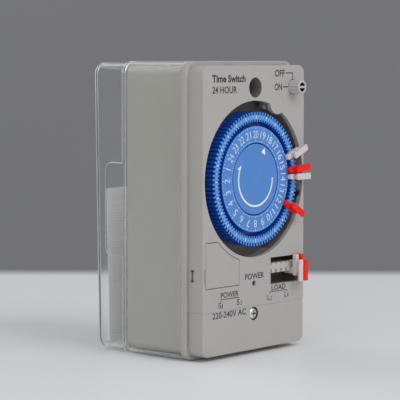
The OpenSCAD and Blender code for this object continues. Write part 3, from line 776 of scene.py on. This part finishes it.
def build_knob():
    """The fluted knob, with a coin bar sunk in its end and painted shade in the recess beside the bar."""
    front, back = depth_of(knob_lo.y), depth_of(knob_hi.y)
    r = (knob_hi.x - knob_lo.x) / 2 / MM
    flutes, flute_depth, plain_r, plain_depth = 14, 0.4, 2.6, 0.3
    edge = 0.45
    bar_x, bar_z = 2.2, 0.5

    def fluted(radius, angle, depth):
        """The radius with its flutes, which fade out near the recess and end inside the face."""
        if radius < plain_r or depth > plain_depth:
            return radius
        groove = max(0.0, math.cos(math.radians(flutes * angle)))
        return radius - flute_depth * groove ** 1.5 * min(1.0, (radius - plain_r) / 0.4)

    profile = [(r, d) for d in (back, 0.4, 0, -1, -3, -5)]
    profile += [(r - edge * rise, front + edge * (1 - side)) for side, rise in quarter(4)]
    profile += [(2.25, front), (2.17, front + 0.08), (2.12, front + 0.3), (2.05, front + 3.3)]
    bm = bmesh.new()
    lathe(bm, KNOB_X, KNOB_Z, profile, 128, fluted)
    outline = rounded_outline([(-bar_x, -bar_z), (bar_x, -bar_z), (bar_x, bar_z), (-bar_x, bar_z)], 0.1, 2)
    plate(bm, outline, front + 0.12, front + 3.36, 0.12,
          lambda u, v, d: at(KNOB_X + u, d, KNOB_Z + v))
    knob = object_from("knob_piece", bm)
    smooth(knob, 35)
    # painted light: the knob gets a lighter copy of the case's grey
    finish_piece(knob, "switch", "case_grey", ["knob"], "case_grey_painted_lighter")

    # painted shade: near-black on the recess's faces beside the bar
    def beside_bar(face):
        u, v = face.center.x / MM - KNOB_X, face.center.z / MM - KNOB_Z
        return depth_of(face.center.y) > front + 0.25 and math.hypot(u, v) < 2.16 and abs(v) > 0.56

    paint(knob, "dark_lens_and_painted_shade", beside_bar)


def slot_cutter(front, floor, reach, half):
    """One tapered arm of the cross recess in the terminal cover's screw."""
    bm = bmesh.new()
    loft(bm, [[at(SCREW_X + u * k, depth, SCREW_Z + v * k)
               for u, v in ((-reach, -half), (reach, -half), (reach, half), (-reach, half))]
              for depth, k in ((front - 0.3, 1.12), (floor, 0.62))])
    return object_from("cutter", bm)


def build_cover_screw():
    """The terminal cover's screw: a domed head with a cross recess."""
    front, back = depth_of(screw_lo.y), depth_of(screw_hi.y)
    head_r, head, shank_r, point_r, point = 2.7, 2.0, 1.5, 1.1, 0.6
    dome = [(0.4, 0), (1.2, 0.05), (1.9, 0.19), (2.35, 0.42), (2.6, 0.72), (head_r, 1.05)]
    profile = [(r, front + d) for r, d in dome]
    profile += [(head_r, front + head - 0.1), (head_r - 0.1, front + head),
                (shank_r, front + head), (shank_r, back - point), (point_r, back)]
    cross_reach, cross_half, cross_depth = 1.6, 0.36, 1.3
    bm = bmesh.new()
    lathe(bm, SCREW_X, SCREW_Z, profile, 64)
    screw = object_from("terminal_cover_screw_piece", bm)
    for reach, half in ((cross_reach, cross_half), (cross_half, cross_reach)):
        combine(screw, slot_cutter(front, front + cross_depth, reach, half), "DIFFERENCE")
    smooth(screw, 30)
    # painted light: the screw gets a brighter copy of the zinc steel
    finish_piece(screw, "terminal_lid", "zinc_steel", ["terminal_cover_screw"], "zinc_steel_painted_bright")
    # painted shade in the screw's cross recess
    darken(screw, SCREW_X, SCREW_Z, 1.9, front + 0.3)


# ---------------------------------------------------------------- printing on the case

def on_face_at(x, z):
    """Maps (u, v) to the printed level of the face, about the point (x, z)."""
    return lambda u, v: at(x + u, -PRINT_LIFT, z + v)


def stroke(bm, points, width):
    """A line of constant width along points (x, z) on the face, in squared-off runs."""
    for (x0, z0), (x1, z1) in zip(points, points[1:]):
        lo_x, hi_x = min(x0, x1) - width / 2, max(x0, x1) + width / 2
        lo_z, hi_z = min(z0, z1) - width / 2, max(z0, z1) + width / 2
        corners = ((lo_x, lo_z), (hi_x, lo_z), (hi_x, hi_z), (lo_x, hi_z))
        flat_face(bm, [at(x, -PRINT_LIFT, z) for x, z in corners])


def build_case_print():
    """Words (centre x and z, height, width and boldness) and the lines that lead from them."""
    bm = bmesh.new()
    for words, x, z, height, width, bold in (
            ("Time Switch", -19.4, 128.1, 3.5, 24.0, 0.036),
            ("24 HOUR", -22.4, 123.0, 3.2, 17.6, 0.02),
            ("OFF", 18.1, 130.3, 3.3, 7.6, 0.022),
            ("ON", 17.0, 123.9, 3.3, 5.6, 0.022),
            ("POWER", -0.2, 36.4, 2.8, 14.2, 0.02),
            ("POWER", -18.4, 29.5, 2.6, 12.8, 0.02),
            ("S", -25.6, 25.0, 2.7, 1.9, 0.014), ("1", -23.8, 24.5, 1.9, 0.7, 0.01),
            ("S", -12.3, 25.4, 2.7, 1.9, 0.014), ("2", -10.1, 24.9, 1.9, 1.3, 0.01),
            ("LOAD", 18.0, 29.6, 2.6, 10.8, 0.022),
            ("L", 10.4, 25.3, 2.7, 1.6, 0.016), ("2", 12.3, 24.8, 1.9, 1.3, 0.01),
            ("L", 23.4, 25.7, 2.7, 1.6, 0.016), ("1", 25.2, 25.2, 1.9, 0.7, 0.01)):
        text_mesh(bm, words, on_face_at(x, z), height, width, bold)
    for width, points in (
            (0.5, [(22.9, 130.4), (28.1, 130.4), (28.1, 127.9)]),
            (0.5, [(20.7, 123.9), (24.2, 123.9)]),
            (0.36, [(-24.8, 26.7), (-24.8, 27.6), (-11.9, 27.6), (-11.9, 27.0)]),
            (0.36, [(11.2, 27.0), (11.2, 27.8), (24.3, 27.8), (24.3, 27.2)])):
        stroke(bm, points, width)
    finish_piece(object_from("case_print", bm), "case", "case_grey", material="print_dark")

    bm = bmesh.new()
    text_mesh(bm, "220-240V AC", on_face_at(-18.6, 20.5), 2.9, 24.2, 0.014)
    lid_print = object_from("terminal_cover_print", bm)
    finish_piece(lid_print, "terminal_lid", "case_grey", material="print_dark")


# ---------------------------------------------------------------- inner pieces

def build_inner_pieces():
    """Softens the edges of the inner parts; the smallest only get smooth shading."""
    for node, width in (("terminal_block", 0.25), ("terminal_plates", 0.15), ("clamp_washers", 0.15),
                        ("terminal_screws", 0.12), ("case_screws", 0.15), ("contact_base", 0.2),
                        ("capacitor", 0.4), ("lamp_board", 0.08),
                        ("motor_can", 0.3), ("contact_cam", 0.15), ("star_wheel", 0.12),
                        ("front_plate", 0.1), ("rear_plate", 0.1), ("plate_pillars", 0.15),
                        ("plate_screws", 0.15), ("fixed_contact", 0.06), ("moving_contact", 0.06)):
        rounded_node(node, [(width, 2, everywhere)])
    # painted shade: the trip lever gets a darker copy of the natural nylon
    rounded_node("trip_lever", [(0.15, 2, everywhere)], material="nylon_painted_shade")
    rounded_node("lamp_lens", [(0.3, 3, everywhere)], material="dark_lens_and_painted_shade")
    for node in ("lead_wires", "resistor", "lamp", "dial_post", "knob_shaft", "lever_pin",
                 "lever_spring", "idler_arbor", "rotor_arbor", "motor_coil", "stator_poles", "motor_rotor",
                 "dial_gear", "idler_wheel", "rotor_pinion"):
        rounded_node(node, [], 50)


# ---------------------------------------------------------------- stage, light and camera

def paint_look(name, roughness, size_mm, detail, low, high):
    """Matt paint with broad, faint clouds between two greys."""
    m = Look(name, Roughness=roughness)
    m.feed(m.ramp(m.noise(m.place(), size_mm, detail), low, high), "Base Color")
    return m.mat


def horizon_look(view, start, end):
    """Floor paint that turns into the wall's grey between two distances along the view."""
    m = Look("horizon_paint", Roughness=0.35)
    along = m.add("ShaderNodeVectorMath")
    along.operation = "DOT_PRODUCT"
    along.inputs[1].default_value = view
    m.link(m.place(), along.inputs[0])
    rise = m.add("ShaderNodeMapRange", From_Min=start, From_Max=end)
    m.link(along.outputs["Value"], rise.inputs["Value"])
    m.feed(m.ramp(rise.outputs["Result"], srgb(242, 243, 245), srgb(128, 128, 132), 0.0, 1.0), "Base Color")
    return m.mat


def build_stage():
    """A pale floor with a soft horizon, and a grey wall some way behind it, square to the view."""
    view = Vector((CAMERA_VIEW.x, CAMERA_VIEW.y, 0)).normalized()
    side = Vector((view.y, -view.x, 0))
    eye = Vector((CAMERA_PLACE.x, CAMERA_PLACE.y, 0))
    floor_end, floor_length, floor_half, floor_z = 1.216, 2.4, 1.6, -0.0002
    blend = 0.034
    wall_off, wall_half, wall_up = 2.6, 2.5, 0.9
    edge = eye + view * floor_end
    far = eye + view * wall_off

    def quad(name, corners, material):
        bm = bmesh.new()
        flat_face(bm, corners)
        obj = object_from(name, bm)
        obj.data.materials.append(material)

    def strip(name, a, b, material):
        """A stretch of floor from a to b metres on this side of its far edge."""
        ends = ((-1, a), (1, a), (1, b), (-1, b))
        quad(name, [edge + side * s * floor_half - view * d + Vector((0, 0, floor_z)) for s, d in ends],
             material)

    strip("floor", blend, floor_length,
          paint_look("floor_paint", 0.35, 300.0, 2.0, srgb(239, 240, 242), srgb(244, 245, 247)))
    strip("horizon", 0, blend, horizon_look(view, edge.dot(view) - blend, edge.dot(view)))
    quad("wall", [far + side * s * wall_half + Vector((0, 0, z * wall_up))
                  for s, z in ((-1, -1), (1, -1), (1, 1), (-1, 1))],
         paint_look("wall_paint", 0.9, 900.0, 1.0, srgb(134, 134, 138), srgb(140, 140, 144)))


def area_light(name, place, target, size, watts):
    """A rectangular light that faces its target, in metres."""
    data = bpy.data.lights.new(name, "AREA")
    data.shape = "RECTANGLE"
    data.size, data.size_y = size
    data.energy = watts
    obj = bpy.data.objects.new(name, data)
    bpy.context.scene.collection.objects.link(obj)
    obj.location = place
    obj.rotation_euler = (Vector(target) - Vector(place)).to_track_quat("-Z", "Y").to_euler()


def build_light():
    """A pale sky, a key light above the face, a fill from the left and a weak light behind."""
    world = bpy.data.worlds.new("studio")
    bpy.context.scene.world = world
    world.use_nodes = True
    background = world.node_tree.nodes["Background"]
    background.inputs["Color"].default_value = (0.98, 0.99, 1.0, 1)
    background.inputs["Strength"].default_value = 0.52
    area_light("key", (0.05, -1.35, 1.25), (0, 0, 0.07), (1.0, 0.8), 11.5)
    area_light("fill", (-1.5, -0.8, 0.5), (0, 0, 0.05), (1.2, 0.8), 5)
    area_light("back", (-0.1, 1.4, 0.8), (0, 0, 0.07), (0.9, 0.9), 4)


def build_camera():
    data = bpy.data.cameras.new("camera")
    data.sensor_width = 36.0
    data.lens = CAMERA_LENS
    cam = bpy.data.objects.new("camera", data)
    bpy.context.scene.collection.objects.link(cam)
    cam.location = CAMERA_PLACE
    roll = Matrix.Rotation(math.radians(CAMERA_ROLL), 3, "Z")
    cam.rotation_euler = (CAMERA_VIEW.to_track_quat("-Z", "Y").to_matrix() @ roll).to_euler()
    data.clip_start, data.clip_end = 0.01, 20
    bpy.context.scene.camera = cam


build_case()
build_clear_cover()
build_leaflet()
build_dial()
build_ring_print()
build_disc_print()
build_setters()
build_knob()
build_cover_screw()
build_case_print()
build_inner_pieces()
build_stage()
build_light()
build_camera()
bpy.context.scene.view_settings.view_transform = "Standard"
